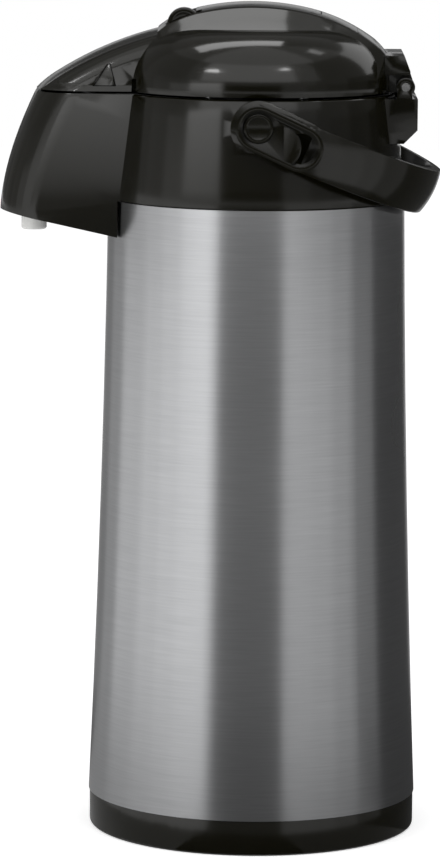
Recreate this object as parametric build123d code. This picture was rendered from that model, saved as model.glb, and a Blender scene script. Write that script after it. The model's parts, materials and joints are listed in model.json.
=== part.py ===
from build123d import *
import os
from math import cos, radians, sin, sqrt

# A push-button vacuum airpot, in millimetres. Z is up, the floor is z = 0 and the
# body's axis is the Z axis. The spout points to -Y, the hinge is at +Y.

# Cutting shapes run past a face by "over" and past the whole object by "beyond"
over = 1.0
beyond = 200.0

# Base and steel sleeve
base_radius = 79.0
base_height = 17.0
base_wall = 2.4
base_edge_round = 1.8
foot_ring_width = 8.0
foot_ring_height = 2.0
spigot_height = 10.0
spigot_fit = 1.0
sleeve_height = 289.0
sleeve_overhang = 0.5
sleeve_waist_radius = 74.3
sleeve_top_radius = 71.2
sleeve_wall = 0.6
sleeve_hem = 0.6

# Collar and its beak-shaped spout housing
collar_height = 51.2
collar_rim_radius = 71.6
collar_top_radius = 66.0
collar_wall = 2.5
rim_round = 0.8
rim_spigot_depth = 8.0
rim_shelf_height = 2.4
rim_shelf_width = 1.4
deck_depth = 8.7
deck_thickness = 2.5
beak_half_width = 29.6
beak_reach = 122.6
beak_seam_reach = 106.1
beak_curve = 1.63
beak_corner_low = 19.0
beak_corner_high = 23.0
beak_drop_front = 4.9
beak_drop_rear = 17.2
beak_rear_gap = 0.7
beak_rear_wall = 2.2
beak_sections = 6

# Lid
seam_gap = 1.2
lid_wall = 2.5
dome_radius = 65.9
dome_height = 29.6
dome_round = 26.0
spine_height = 41.4
spine_half_width = 33.5
spine_top_half_width = 25.6
spine_crown = 1.1
spine_flank_drop = 12.5
spine_edge_round = 1.6
spine_radius = 118.0
spine_front_radius = 45.0
spine_rear_radius = 85.0
spine_top_y = -2.0
spine_front_y = -30.0
spine_rear_angle = 13.5
spine_front_sweep = 33.0
spine_end_angle = 58.0
spine_section_depth = 37.0
spine_tail_y = 56.9
spine_tail_z = 381.1
spine_tail_slope = 1.33
spine_start_y = -47.5
spine_step = 0.6
beak_top_radius = 170.0
beak_top_slope = 14.5
beak_tip_radius = 50.0
beak_tip_length = 9.1
beak_section_depth = 42.0
beak_top_corner = 9.0
beak_top_crown = 2.0
beak_lip = 0.7
beak_lip_height = 3.5
lip_fade = 0.1
beak_front_gap = 0.3

# Push button and lock roller
button_gap = 0.5
plate_rear_y = 30.0
plate_half_width = 24.4
plate_corner = 12.0
plate_wall = 2.5
plate_skirt = 9.0
post_radius = 7.0
post_socket_wall = 2.0
post_socket_height = 6.0
bridge_rear_y = 47.5
bridge_fit = 0.15
bridge_ledge = 6.0
bridge_tongue = 4.0
bridge_side_step = 2.0
roller_radius = 5.2
wheel_radius = 8.0
wheel_width = 8.0
wheel_dish_radius = 5.6
wheel_dish_depth = 0.7
roller_y = -35.0
roller_sink = 9.9
roller_trunnion_radius = 1.5
roller_trunnion_length = 1.7
roller_gap = 0.4
roller_side_reach = 0.1
roller_trunnion_gap = 0.2
cam_reach = 10.5
cam_thickness = 2.2
cam_half_width = 8.0
cam_angle = -90.0

# Pump inside the lid
bellows_radius = 28.0
bellows_root_radius = 23.5
bellows_folds = 5
bellows_slant_wall = 1.28
cup_depth = 12.4
cup_wall = 2.4
cup_clearance = 1.5
base_plate_thickness = 2.5
pressure_plate_thickness = 2.5
pressure_plate_margin = 2.0
pressure_drop = 1.0
spring_radius = 15.0
spring_wire_radius = 0.8
spring_turns = 6
spring_end_gap = 1.1
valve_radius = 5.0
valve_thickness = 1.5
valve_hole_radius = 2.0
flap_radius = 8.0
flap_thickness = 1.1
flap_stem_radius = 1.5
flap_knob_radius = 2.4
flap_knob_height = 1.0
outlet_hole_radius = 1.5
outlet_hole_circle = 5.0
outlet_hole_count = 4
gasket_height = 2.5
gasket_lip = 0.8
gasket_collar_height = 4.0

# Hinge
hinge_y = 70.4
hinge_rise = 4.1
pin_radius = 2.0
knuckle_radius = 4.4
knuckle_half_length = 21.2
ear_gap = 0.5
ear_thickness = 5.3
ear_neck_front = 4.0
ear_neck_rear = 3.1
running_clearance = 0.05
lug_reach = 76.2
lug_top_drop = 1.6
lug_height = 21.2
lug_chamfer = 6.5
lug_root = 6.0
block_height = 17.8
block_reach = 69.6
block_slant = 2.9
block_slant_height = 7.5
block_under_gap = 1.4
block_root = 16.0
web_root = 8.0
hinge_tongue_half_width = 20.0
hinge_tongue_height = 3.0
hinge_tongue_root = 26.0
hinge_tongue_fit = 0.2

# Handle
pivot_y = 0.7
pivot_drop = 12.3
handle_outer_half_width = 77.8
handle_arm_thickness = 4.6
handle_bow_centre = 12.8
handle_slope = 23.0
grip_thickness = 5.5
grip_top = 11.2
grip_low = 16.0
grip_edge_drop = 2.3
arm_top = 11.4
arm_low = 10.0
arm_low_middle = 13.2
handle_edge_round = 1.4
eye_radius = 13.0
eye_length = 21.8
eye_tilt = 2.0
eye_recess_radius = 8.4
eye_recess_depth = 2.0
eye_ridge_radius = 10.7
eye_ridge_height = 0.7
eye_window_wall = 1.2
eye_tongue_radius = 9.6
eye_tongue_centre = (9.9, -8.6)
eye_tongue_start = 11.8
eye_tongue_height = 1.3
eye_tongue_gap = 0.5
stud_head_radius = 6.65
stud_head_thickness = 1.6
stud_rim = 1.6
stud_dish_depth = 0.6
stud_head_gap = 0.1
stud_neck_radius = 4.0
stud_tail_radius = 3.0
stud_tail_length = 10.0
boss_radius = 11.0
boss_gap = 0.3
boss_root = 8.0

# Glass liner and what carries it
liner_outer_radius = 66.0
liner_inner_radius = 60.0
glass_wall = 1.8
neck_outer_radius = 29.0
neck_inner_radius = 26.2
lip_rise = 6.0
liner_floor_z = 24.5
liner_floor_gap = 5.5
liner_floor_round = 38.0
shoulder_round = 32.0
shoulder_drop = 21.0
shoulder_slant = 0.6
neck_taper = 10.0
neck_round = 6.0
pip_length = 6.0
pip_radius = 3.5
pip_tip_radius = 1.0
pip_room = 2.5
spacer_radius = 7.0
spacer_rise = 110.0
plug_radius = 33.8
plug_top_z = 20.0
plug_wall = 2.5
plug_fit = 0.2
plug_recess = 1.0
plug_grip_thickness = 3.0
plug_flange_thickness = 3.0
plug_socket_drop = 4.0
cushion_radius = 46.0
cushion_top_z = 32.0
neck_gasket_thickness = 2.5
neck_gasket_overlap = 1.0

# Throat, stem and spout
throat_radius = 34.0
seat_radius = 27.5
seat_drop = 5.0
throat_wall = 2.2
throat_flange_width = 7.0
throat_flange_thickness = 2.0
throat_fit = 0.4
throat_land = 4.0
pipe_hole_fit = 0.3
stem_bore_radius = 24.4
stem_seat_radius = 21.5
stem_seat_thickness = 3.5
stem_flange_thickness = 2.5
stem_hub_radius = 8.5
stem_hub_top = 20.0
stem_hub_drop = 9.0
stem_fit = 0.2
stem_roof = 2.0
air_hole_radius = 2.6
air_hole_circle = 16.5
air_hole_count = 6
tube_radius = 5.0
tube_bore = 3.75
tube_floor_gap = 10.0
tube_notch_width = 3.0
tube_notch_height = 6.0
ball_radius = 3.5
ball_seat_radius = 2.8
ball_seat_height = 2.0
ball_seat_gap = 0.05
chamber_radius = 4.2
pipe_rise = 13.0
pipe_start = 10.0
pipe_socket_reach = 18.0
pipe_socket_wall = 2.0
pipe_seal_wire = 1.0
pipe_bend = 12.0
nozzle_setback = 15.7
nozzle_radius = 6.1
nozzle_bore = 4.0
nozzle_drop = 16.0
nozzle_height = 28.0
nozzle_socket = 12.0
nozzle_edge = 0.8
nozzle_fit = 0.1
cover_inset = 3.0
cover_thickness = 2.0
cover_fit = 0.15
cover_screw_x = 19.0
cover_screw_y = 88.0
cover_pad_height = 2.5
cover_boss_wall = 1.8
cover_screw_sink = 1.5

# Release buttons
latch_y = -72.4
latch_travel = 3.0
latch_face = 30.8
latch_points = [(-77.3, 2.8), (-71.2, 12.3), (-69.8, 12.8), (-67.4, 2.9)]
latch_gap = 0.4
latch_flange_x = 25.0
latch_flange_thickness = 1.8
latch_flange_margin = 1.0
latch_flange_rise = 0.3
latch_arm_inset = 0.3
latch_facet_depth = 2.2
latch_facet_lean = (1, -0.32, 0.18)
latch_slot_front_gap = 0.5
latch_slot_rear_gap = 0.8
latch_slot_side_gap = 2.2
latch_nose_gap = 0.6
latch_arm_thickness = 2.0
latch_arm_width = 6.4
latch_nose = 1.5
latch_nose_height = 2.9
latch_spring_radius = 2.6
latch_spring_wire = 0.4
latch_spring_turns = 6
latch_spring_rise = 6.6
latch_post_half_width = 5.0
latch_post_half_depth = 3.0
latch_post_crown = 1.0
crease_recess_x = 30.4
crease_recess_y = 57.3
crease_recess_radius = 2.3
crease_recess_height = 6.0

# Screws
screw_radius = 1.5
screw_head_radius = 2.7
screw_head_height = 1.6
screw_length = 9.0
screw_slot_width = 0.8
screw_slot_length = 4.0
screw_slot_depth = 0.7
screw_hole_fit = 0.1
screw_head_fit = 0.3
screw_boss_radius = 3.2
deck_boss_drop = 6.0
lid_screw_x = 44.0
lid_screw_y = 22.0
hinge_screw_x = 14.0
hinge_screw_y = 48.0
lid_base_fit = 0.2

# Sizes that follow from the ones above
sleeve_foot_radius = base_radius + sleeve_overhang
handle_inner_half_width = handle_outer_half_width - handle_arm_thickness
handle_reach = handle_bow_centre + handle_inner_half_width + grip_thickness
nozzle_reach = beak_reach - nozzle_setback
beak_tip_y = beak_tip_length - beak_seam_reach
plate_front_y = roller_y + roller_radius + roller_gap
wheel_x = plate_half_width - wheel_width
shoulder_z = base_height + sleeve_height
seam_z = shoulder_z + collar_height
lid_z = seam_z + seam_gap
deck_top_z = seam_z - deck_depth
deck_low_z = deck_top_z - deck_thickness
seat_z = deck_top_z - seat_drop
lip_z = shoulder_z + lip_rise
stem_seat_z = lip_z + neck_gasket_thickness + stem_seat_thickness
pipe_z = stem_seat_z + pipe_rise
hinge_z = seam_z + hinge_rise
pivot_z = seam_z - pivot_drop
cup_floor_z = lid_z - cup_depth
base_plate_top_z = lid_z + base_plate_thickness
bellows_low_z = cup_floor_z + cup_wall
pressure_top_z = lid_z + dome_height - lid_wall - pressure_drop
bellows_top_z = pressure_top_z - pressure_plate_thickness
roller_z = lid_z + spine_height - roller_sink
cup_inner_radius = bellows_radius + cup_clearance
cup_outer_radius = cup_inner_radius + cup_wall
throat_outer_radius = throat_radius + throat_wall
deck_hole_radius = throat_outer_radius + throat_fit
flange_radius = throat_outer_radius + throat_flange_width
hinge_tongue_top_z = base_plate_top_z + hinge_tongue_height
latch_spring_z = lid_z + latch_spring_rise
latch_arm_x = latch_flange_x - latch_flange_thickness + latch_arm_inset


def turned(*corners):
    """A solid turned about Z from (radius, height) corners."""
    return revolve(Plane.XZ * make_face(Polyline(*corners, close=True)), Axis.Z)


def rod(radius, start, end):
    """A round rod between two points."""
    span = Vector(*end) - Vector(*start)
    return extrude(Plane(origin=start, z_dir=span) * Circle(radius), span.length)


def drum(radius, low, high, x=0, y=0):
    """An upright cylinder between two heights."""
    return rod(radius, (x, y, low), (x, y, high))


def ring(outer, inner, low, high, x=0, y=0):
    """An upright tube between two heights."""
    return drum(outer, low, high, x, y) - drum(inner, low, high, x, y)


def block(x0, x1, y0, y1, z0, z1):
    """A box between two corners."""
    return Pos((x0 + x1) / 2, (y0 + y1) / 2, (z0 + z1) / 2) * Box(x1 - x0, y1 - y0, z1 - z0)


def side_extrude(face, x0, x1):
    """A face drawn in (y, z), pulled out between two X values."""
    return extrude(Plane(origin=(x0, 0, 0), x_dir=(0, 1, 0), z_dir=(1, 0, 0)) * face, x1 - x0)


def slab(outline, x0, x1):
    """A plate cut to a side outline of (y, z) lines, between two X values."""
    return side_extrude(make_face(outline), x0, x1)


def plate(corners, x0, x1):
    """A slab with straight sides."""
    return side_extrude(make_face(Polyline(*corners, close=True)), x0, x1)


def both_sides(piece):
    """A piece on +X together with its mirror image on -X."""
    return piece + mirror(piece, Plane.YZ)


def screw(x, y, z, toward=1):
    """A slotted pan-head screw under z, its shank going up (toward 1) or down (-1)."""
    face = z - toward * screw_head_height
    head = rod(screw_head_radius, (x, y, z), (x, y, face))
    shank = rod(screw_radius, (x, y, z), (x, y, z + toward * screw_length))
    slot = Box(screw_slot_width, screw_slot_length, 2 * screw_slot_depth)
    return head + shank - Pos(x, y, face) * slot


def collar_radius(z):
    """Outside radius of the collar's cone at a height."""
    share = (z - shoulder_z) / collar_height
    return collar_rim_radius + (collar_top_radius - collar_rim_radius) * share


def beak_front(z):
    """Y of the spout housing's front wall at a height."""
    low = shoulder_z - beak_drop_front
    share = max(0.0, (z - low) / (seam_z - low))
    return (beak_reach - beak_seam_reach) * share**beak_curve - beak_reach


def nose_plan(side, nose, corner):
    """Plan face with straight sides and two rounded front corners."""
    root = -dome_radius / 2
    bend = corner * (1 - sqrt(0.5))
    return make_face(
        [
            Line((side, root), (side, nose + corner)),
            ThreePointArc((side, nose + corner), (side - bend, nose + bend), (side - corner, nose)),
            Line((side - corner, nose), (corner - side, nose)),
            ThreePointArc((corner - side, nose), (bend - side, nose + bend), (-side, nose + corner)),
            Line((-side, nose + corner), (-side, root)),
            Line((-side, root), (side, root)),
        ]
    )


def beak_plan(z, inset):
    """Plan of the spout housing at a height."""
    low = shoulder_z - beak_drop_front
    share = max(0.0, (z - low) / (seam_z - low))
    corner = beak_corner_low + (beak_corner_high - beak_corner_low) * share - inset
    return Pos(0, 0, z) * nose_plan(beak_half_width - inset, beak_front(z) + inset, corner)


def beak_housing(inset):
    """The spout housing as a solid: straight below its lip, curved up to the seam."""
    low = shoulder_z - beak_drop_front
    step = (seam_z - low) / (beak_sections - 2)
    curved = loft([beak_plan(low + step * k, inset) for k in range(beak_sections)])
    return curved + extrude(beak_plan(low, inset), 2 * beak_drop_rear, dir=(0, 0, -1))


def beak_lip_z(y):
    """Height of the spout housing's lower edge."""
    rear_y = -dome_radius
    share = (rear_y - y) / (rear_y + beak_reach)
    return shoulder_z - beak_drop_rear + (beak_drop_rear - beak_drop_front) * share


def spine_centres():
    """Centres of the front, top and rear arcs of the spine's top line, as (y, z)."""
    top = (spine_top_y, lid_z + spine_height - spine_radius)
    lean = (spine_top_y - spine_front_y) / spine_radius
    joint = (spine_front_y, top[1] + spine_radius * sqrt(1 - lean**2))
    fore = (
        joint[0] + spine_front_radius * lean,
        joint[1] - spine_front_radius * sqrt(1 - lean**2),
    )
    angle = radians(spine_rear_angle)
    step = spine_radius - spine_rear_radius
    rear = (top[0] + step * sin(angle), top[1] + step * cos(angle))
    return fore, top, rear


def on_arc(centre, radius, angle):
    """The (0, y, z) point of an arc at an angle from vertical, in degrees."""
    turn = radians(angle)
    return (0, centre[0] + radius * sin(turn), centre[1] + radius * cos(turn))


def spine(drop=0.0, narrow=0.0):
    """The raised spine: one section swept along the top line, lowered by drop."""
    fore, top, rear = spine_centres()
    front_angle = -asin_degrees((spine_top_y - spine_front_y) / spine_radius)
    start_angle = front_angle - spine_front_sweep
    end_angle = spine_end_angle
    path = Curve() + [
        ThreePointArc(
            on_arc(fore, spine_front_radius, start_angle),
            on_arc(fore, spine_front_radius, (start_angle + front_angle) / 2),
            on_arc(fore, spine_front_radius, front_angle),
        ),
        ThreePointArc(
            on_arc(top, spine_radius, front_angle),
            on_arc(top, spine_radius, 0),
            on_arc(top, spine_radius, spine_rear_angle),
        ),
        ThreePointArc(
            on_arc(rear, spine_rear_radius, spine_rear_angle),
            on_arc(rear, spine_rear_radius, (spine_rear_angle + end_angle) / 2),
            on_arc(rear, spine_rear_radius, end_angle),
        ),
    ]
    wide = spine_half_width - narrow
    brow = spine_top_half_width - narrow
    depth = spine_section_depth
    section = make_face(
        [
            ThreePointArc((-brow, -spine_crown - drop), (0, -drop), (brow, -spine_crown - drop)),
            Line((brow, -spine_crown - drop), (wide, -spine_flank_drop - drop)),
            Line((wide, -spine_flank_drop - drop), (wide, -depth)),
            Line((wide, -depth), (-wide, -depth)),
            Line((-wide, -depth), (-wide, -spine_flank_drop - drop)),
            Line((-wide, -spine_flank_drop - drop), (-brow, -spine_crown - drop)),
        ]
    )
    if drop == 0:
        brow_corners = section.vertices().filter_by(lambda v: abs(v.Y + spine_crown) < 0.01)
        section = fillet(brow_corners, spine_edge_round)
    start = Plane(origin=path @ 0, x_dir=(-1, 0, 0), z_dir=path % 0)
    return sweep(start * section, path)


def asin_degrees(value):
    """Angle whose sine is value, in degrees."""
    return Vector(1, 0, 0).get_angle(Vector(sqrt(1 - value**2), value, 0))


def spine_top_z(y):
    """Height of the spine's top line over its long middle arc."""
    return spine_centres()[1][1] + sqrt(spine_radius**2 - (y - spine_top_y) ** 2)


def beak_roof(drop=0.0, narrow=0.0):
    """The lid's roof over the beak: a rounded section swept down its top line."""
    slope = radians(beak_top_slope)
    fore, _, _ = spine_centres()
    start_z = fore[1] + sqrt(spine_front_radius**2 - (spine_start_y - fore[0]) ** 2) - spine_step
    centre = (spine_start_y + beak_top_radius * sin(slope), start_z - beak_top_radius * cos(slope))
    first = -asin_degrees((centre[0] + dome_radius / 2) / beak_top_radius)
    joint = -asin_degrees((centre[0] - beak_tip_y) / beak_top_radius)
    step = beak_top_radius - beak_tip_radius
    tip = (centre[0] + step * sin(radians(joint)), centre[1] + step * cos(radians(joint)))
    last = -asin_degrees((tip[0] + beak_seam_reach + over) / beak_tip_radius)
    path = Curve() + [
        ThreePointArc(
            on_arc(centre, beak_top_radius, first),
            on_arc(centre, beak_top_radius, (first + joint) / 2),
            on_arc(centre, beak_top_radius, joint),
        ),
        ThreePointArc(
            on_arc(tip, beak_tip_radius, joint),
            on_arc(tip, beak_tip_radius, (joint + last) / 2),
            on_arc(tip, beak_tip_radius, last),
        ),
    ]
    side = beak_half_width - narrow
    corner = beak_top_corner - narrow
    bend = corner * (1 - sqrt(0.5))
    shoulder = -drop - beak_top_crown
    foot = shoulder - corner
    depth = beak_section_depth
    wide = side + 2 * over
    section = make_face(
        [
            Polyline(
                (side, foot),
                (wide, foot),
                (wide, -depth),
                (-wide, -depth),
                (-wide, foot),
                (-side, foot),
            ),
            ThreePointArc((side, foot), (side - bend, shoulder - bend), (side - corner, shoulder)),
            ThreePointArc((side - corner, shoulder), (0, -drop), (corner - side, shoulder)),
            ThreePointArc((corner - side, shoulder), (bend - side, shoulder - bend), (-side, foot)),
        ]
    )
    start = Plane(origin=path @ 0, x_dir=(1, 0, 0), z_dir=path % 0)
    return sweep(start * section, path)


def beak_lid(inset=0.0):
    """The lid's beak as a solid: its plan pulled up, with a flared lip, under the roof."""
    low = lid_z - (over if inset else 0)
    nose = -beak_seam_reach + beak_front_gap + inset
    plan = nose_plan(beak_half_width - inset, nose, beak_corner_high - inset)
    form = extrude(Pos(0, 0, low) * plan, lid_z + spine_height - low)
    if not inset:
        lip_plan = nose_plan(beak_half_width + beak_lip, nose - beak_lip, beak_corner_high + beak_lip)
        inner_plan = nose_plan(beak_half_width - lip_fade, nose + lip_fade, beak_corner_high - lip_fade)
        lip = loft([Pos(0, 0, low) * lip_plan, Pos(0, 0, low + beak_lip_height) * inner_plan], ruled=True)
        form += lip
    return form & beak_roof(inset, inset)


def dome(inset=0.0):
    """The round part of the lid: an upright wall with a large rounding to a flat top."""
    wall = dome_radius - inset
    bend = dome_round - inset
    top = lid_z + dome_height - inset
    low = lid_z - (over if inset else 0)
    turn = bend * (1 - sqrt(0.5))
    edges = [
        Line((0, low), (wall, low)),
        Line((wall, low), (wall, top - bend)),
        ThreePointArc((wall, top - bend), (wall - turn, top - turn), (wall - bend, top)),
        Line((wall - bend, top), (0, top)),
        Line((0, top), (0, low)),
    ]
    return revolve(Plane.XZ * make_face(edges), Axis.Z)


def spine_on_dome(drop=0.0, narrow=0.0):
    """The spine trimmed to the lid's round wall, to its front end and to its sloping tail."""
    low = lid_z - (over if narrow else 0)
    high = lid_z + 2 * spine_height
    wall = drum(dome_radius - narrow, low, high)
    front = spine_start_y + (lid_wall if narrow else 0)
    tail_y = spine_tail_y - narrow
    lean = (high - spine_tail_z) / spine_tail_slope
    foot = (spine_tail_z - low) / spine_tail_slope
    keep = [(front, low), (front, high), (tail_y - lean, high), (tail_y + foot, low)]
    return spine(drop, narrow) & wall & plate(keep, -beyond, beyond)


def lid_form():
    """The lid's outside as one solid."""
    return dome() + spine_on_dome() + beak_lid()


def rounded_plan(x, y0, y1, corner, grow=0.0):
    """Plan outline with square front corners and rounded rear corners, as a face."""
    side = x + grow
    low = y0 - grow
    high = y1 + grow
    bend = (corner + grow) * (1 - sqrt(0.5))
    turn = corner + grow
    edges = [
        Line((-side, low), (side, low)),
        Line((side, low), (side, high - turn)),
        ThreePointArc((side, high - turn), (side - bend, high - bend), (side - turn, high)),
        Line((side - turn, high), (turn - side, high)),
        ThreePointArc((turn - side, high), (bend - side, high - bend), (-side, high - turn)),
        Line((-side, high - turn), (-side, low)),
    ]
    return make_face(edges)


def upright(face, low, high):
    """A plan face pulled up between two heights."""
    return extrude(Pos(0, 0, low) * face, high - low)


# Base

def base_cap():
    spigot = sleeve_foot_radius - sleeve_wall - spigot_fit
    inner = spigot - base_wall
    socket = plug_radius + plug_fit
    socket_top = plug_top_z - plug_socket_drop
    floor = foot_ring_height + base_wall
    bend = base_edge_round * (1 - sqrt(0.5))
    edge = [
        Line((socket, foot_ring_height), (base_radius - foot_ring_width, foot_ring_height)),
        Line((base_radius - foot_ring_width, foot_ring_height), (base_radius - foot_ring_width, 0)),
        Line((base_radius - foot_ring_width, 0), (base_radius - base_edge_round, 0)),
        ThreePointArc(
            (base_radius - base_edge_round, 0),
            (base_radius - bend, bend),
            (base_radius, base_edge_round),
        ),
        Line((base_radius, base_edge_round), (base_radius, base_height)),
        Polyline(
            (base_radius, base_height),
            (spigot, base_height),
            (spigot, base_height + spigot_height),
            (inner, base_height + spigot_height),
            (inner, floor),
            (socket + base_wall, floor),
            (socket + base_wall, socket_top),
            (socket, socket_top),
            (socket, foot_ring_height),
        ),
    ]
    return revolve(Plane.XZ * make_face(Curve() + edge), Axis.Z)


def body_sleeve():
    spigot = sleeve_foot_radius - sleeve_wall - spigot_fit
    middle = base_height + sleeve_height / 2
    foot = sleeve_foot_radius - sleeve_wall
    top = sleeve_top_radius - sleeve_wall
    edges = [
        ThreePointArc(
            (sleeve_foot_radius, base_height),
            (sleeve_waist_radius, middle),
            (sleeve_top_radius, shoulder_z),
        ),
        Polyline(
            (sleeve_top_radius, shoulder_z),
            (top - sleeve_hem, shoulder_z),
            (top - sleeve_hem, shoulder_z - sleeve_wall),
            (top, shoulder_z - sleeve_wall),
        ),
        ThreePointArc(
            (top, shoulder_z - sleeve_wall),
            (sleeve_waist_radius - sleeve_wall, middle),
            (foot, base_height + sleeve_wall),
        ),
        Polyline(
            (foot, base_height + sleeve_wall),
            (spigot, base_height + sleeve_wall),
            (spigot, base_height),
            (sleeve_foot_radius, base_height),
        ),
    ]
    return revolve(Plane.XZ * make_face(Curve() + edges), Axis.Z)


def liner_plug():
    """The cup-shaped plug that holds the liner up, with a finger bar across its hollow."""
    low = foot_ring_height + plug_recess
    half = plug_grip_thickness / 2
    cup = drum(plug_radius, low, plug_top_z)
    cup -= drum(plug_radius - plug_wall, low - over, plug_top_z - plug_wall)
    cup += block(-plug_radius + over, plug_radius - over, -half, half, low, plug_top_z - over)
    cup += ring(cushion_radius, plug_radius - over, plug_top_z - plug_flange_thickness, plug_top_z)
    return cup - drum(pip_radius + pip_room, 0, plug_top_z + over)


# Glass liner

def bottle_form(radius, neck, floor, shoulder, lip, inset=0.0):
    """A bottle as a solid of revolution, drawn inward by inset for its cavity."""
    floor_round = liner_floor_round - inset
    slant = inset * shoulder_slant
    top = lip + (over if inset else 0)
    outline = FilletPolyline(
        (0, floor + inset),
        (radius - inset, floor + inset),
        (radius - inset, shoulder - slant),
        (neck - inset, shoulder + neck_taper - slant),
        (neck - inset, top),
        radius=[floor_round, shoulder_round - inset, neck_round + inset],
    )
    face = make_face(Curve() + [outline, Polyline((neck - inset, top), (0, top), (0, floor + inset))])
    return revolve(Plane.XZ * face, Axis.Z)


def outer_bottle_form(inset=0.0):
    return bottle_form(
        liner_outer_radius, neck_outer_radius, liner_floor_z, shoulder_z - shoulder_drop, lip_z, inset
    )


def inner_bottle_form(inset=0.0):
    return bottle_form(
        liner_inner_radius,
        neck_inner_radius,
        liner_floor_z + liner_floor_gap,
        shoulder_z - shoulder_drop - liner_floor_gap,
        lip_z,
        inset,
    )


def liner_outer():
    low = liner_floor_z - pip_length
    pip = turned(
        (0, liner_floor_z + over),
        (pip_radius, liner_floor_z + over),
        (pip_tip_radius, low),
        (0, low),
    )
    lip = ring(neck_outer_radius, neck_inner_radius, lip_z - glass_wall, lip_z)
    return outer_bottle_form() + pip - outer_bottle_form(glass_wall) + lip


def liner_inner():
    return inner_bottle_form() - inner_bottle_form(glass_wall)


def liner_spacers():
    """Three pads between the two bottles."""
    outside = liner_outer_radius - glass_wall
    z = liner_floor_z + spacer_rise
    pads = []
    for turn in (90, 210, 330):
        pad = rod(spacer_radius, (0, 0, z), (liner_outer_radius, 0, z))
        band = ring(outside, liner_inner_radius, liner_floor_z, shoulder_z)
        pads.append(Rot(0, 0, turn) * (pad & band))
    return Compound(children=[p.solids()[0] for p in pads])


def liner_cushion():
    seat = drum(cushion_radius, plug_top_z, cushion_top_z) - outer_bottle_form()
    return seat - drum(pip_radius + pip_room, 0, cushion_top_z)


def neck_gasket():
    inner = neck_inner_radius - glass_wall
    return ring(neck_outer_radius + neck_gasket_overlap, inner, lip_z, lip_z + neck_gasket_thickness)


# Collar and spout housing

def hinge_lug():
    """The solid lug on the collar's back that carries the two ears."""
    top = seam_z - lug_top_drop
    low = top - lug_height
    root = collar_top_radius - lug_root
    ear_x = knuckle_half_length + ear_gap
    corners = [
        (root, top),
        (lug_reach, top),
        (lug_reach, low + lug_chamfer),
        (lug_reach - lug_chamfer, low),
        (root, low),
    ]
    body = plate(corners, -ear_x - ear_thickness, ear_x + ear_thickness)
    ear = block(
        ear_x, ear_x + ear_thickness, hinge_y - ear_neck_front, hinge_y + ear_neck_rear, top - over, hinge_z
    )
    ear += rod(knuckle_radius, (ear_x, hinge_y, hinge_z), (ear_x + ear_thickness, hinge_y, hinge_z))
    return body + both_sides(ear)


def pivot_boss():
    root = collar_radius(pivot_z) - boss_root
    return rod(boss_radius, (root, pivot_y, pivot_z), (handle_inner_half_width - boss_gap, pivot_y, pivot_z))


def deck_screw_places():
    circle = flange_radius - throat_flange_width / 2
    return [(circle * cos(radians(a)), circle * sin(radians(a))) for a in (90, 210, 330)]


def cover_screw_places():
    return [(-cover_screw_x, -cover_screw_y), (cover_screw_x, -cover_screw_y)]


def cover_pad_z():
    """Height of the pads that the spout cover is screwed to."""
    return beak_lip_z(-cover_screw_y) + cover_inset + cover_thickness + cover_pad_height


def latch_slot(low, high):
    """The slots through which the release arms pass, with room for their travel."""
    outer = latch_arm_x + latch_nose + latch_slot_front_gap
    inner = latch_arm_x - latch_arm_thickness - latch_travel - latch_slot_rear_gap
    half = latch_arm_width / 2 + latch_slot_side_gap
    return both_sides(block(inner, outer, latch_y - half, latch_y + half, low, high))


def collar_form():
    """The collar's outside: cone, spout housing, sleeve spigot, hinge lug and pivot bosses."""
    cone = turned(
        (0, shoulder_z),
        (collar_rim_radius - rim_round, shoulder_z),
        (collar_rim_radius, shoulder_z + rim_round),
        (collar_radius(seam_z - rim_round), seam_z - rim_round),
        (collar_top_radius - rim_round, seam_z),
        (0, seam_z),
    )
    above_seam = block(-beyond, beyond, -beyond, beyond, seam_z, seam_z + beyond)
    low = shoulder_z - beyond
    under_lip = [
        (beyond, beak_lip_z(beyond)),
        (-beyond, beak_lip_z(-beyond)),
        (-beyond, low),
        (beyond, low),
    ]
    beak = beak_housing(0) - above_seam - plate(under_lip, -beyond, beyond)
    beak -= drum(collar_rim_radius + beak_rear_gap, low, shoulder_z)
    spigot_radius = sleeve_top_radius - sleeve_wall - sleeve_hem
    spigot = drum(spigot_radius, shoulder_z - rim_spigot_depth, shoulder_z)
    return cone + beak + spigot + hinge_lug() + both_sides(pivot_boss())


def collar_hollow():
    """The space inside the collar and its spout housing, above and below the deck."""
    shelf_z = shoulder_z + rim_shelf_height
    rim = collar_rim_radius - collar_wall - rim_shelf_width
    well = turned(
        (0, shoulder_z - 2 * rim_spigot_depth),
        (rim, shoulder_z - 2 * rim_spigot_depth),
        (rim, shelf_z),
        (collar_radius(shelf_z) - collar_wall, shelf_z),
        (collar_top_radius - collar_wall, seam_z + over),
        (0, seam_z + over),
    )
    rear_radius = collar_rim_radius + beak_rear_gap + beak_rear_wall
    rear_wall = drum(rear_radius, shoulder_z - beyond, shelf_z)
    deck = block(-beyond, beyond, -beyond, beyond, deck_low_z, deck_top_z)
    return well + (beak_housing(collar_wall) - rear_wall) - deck


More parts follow.
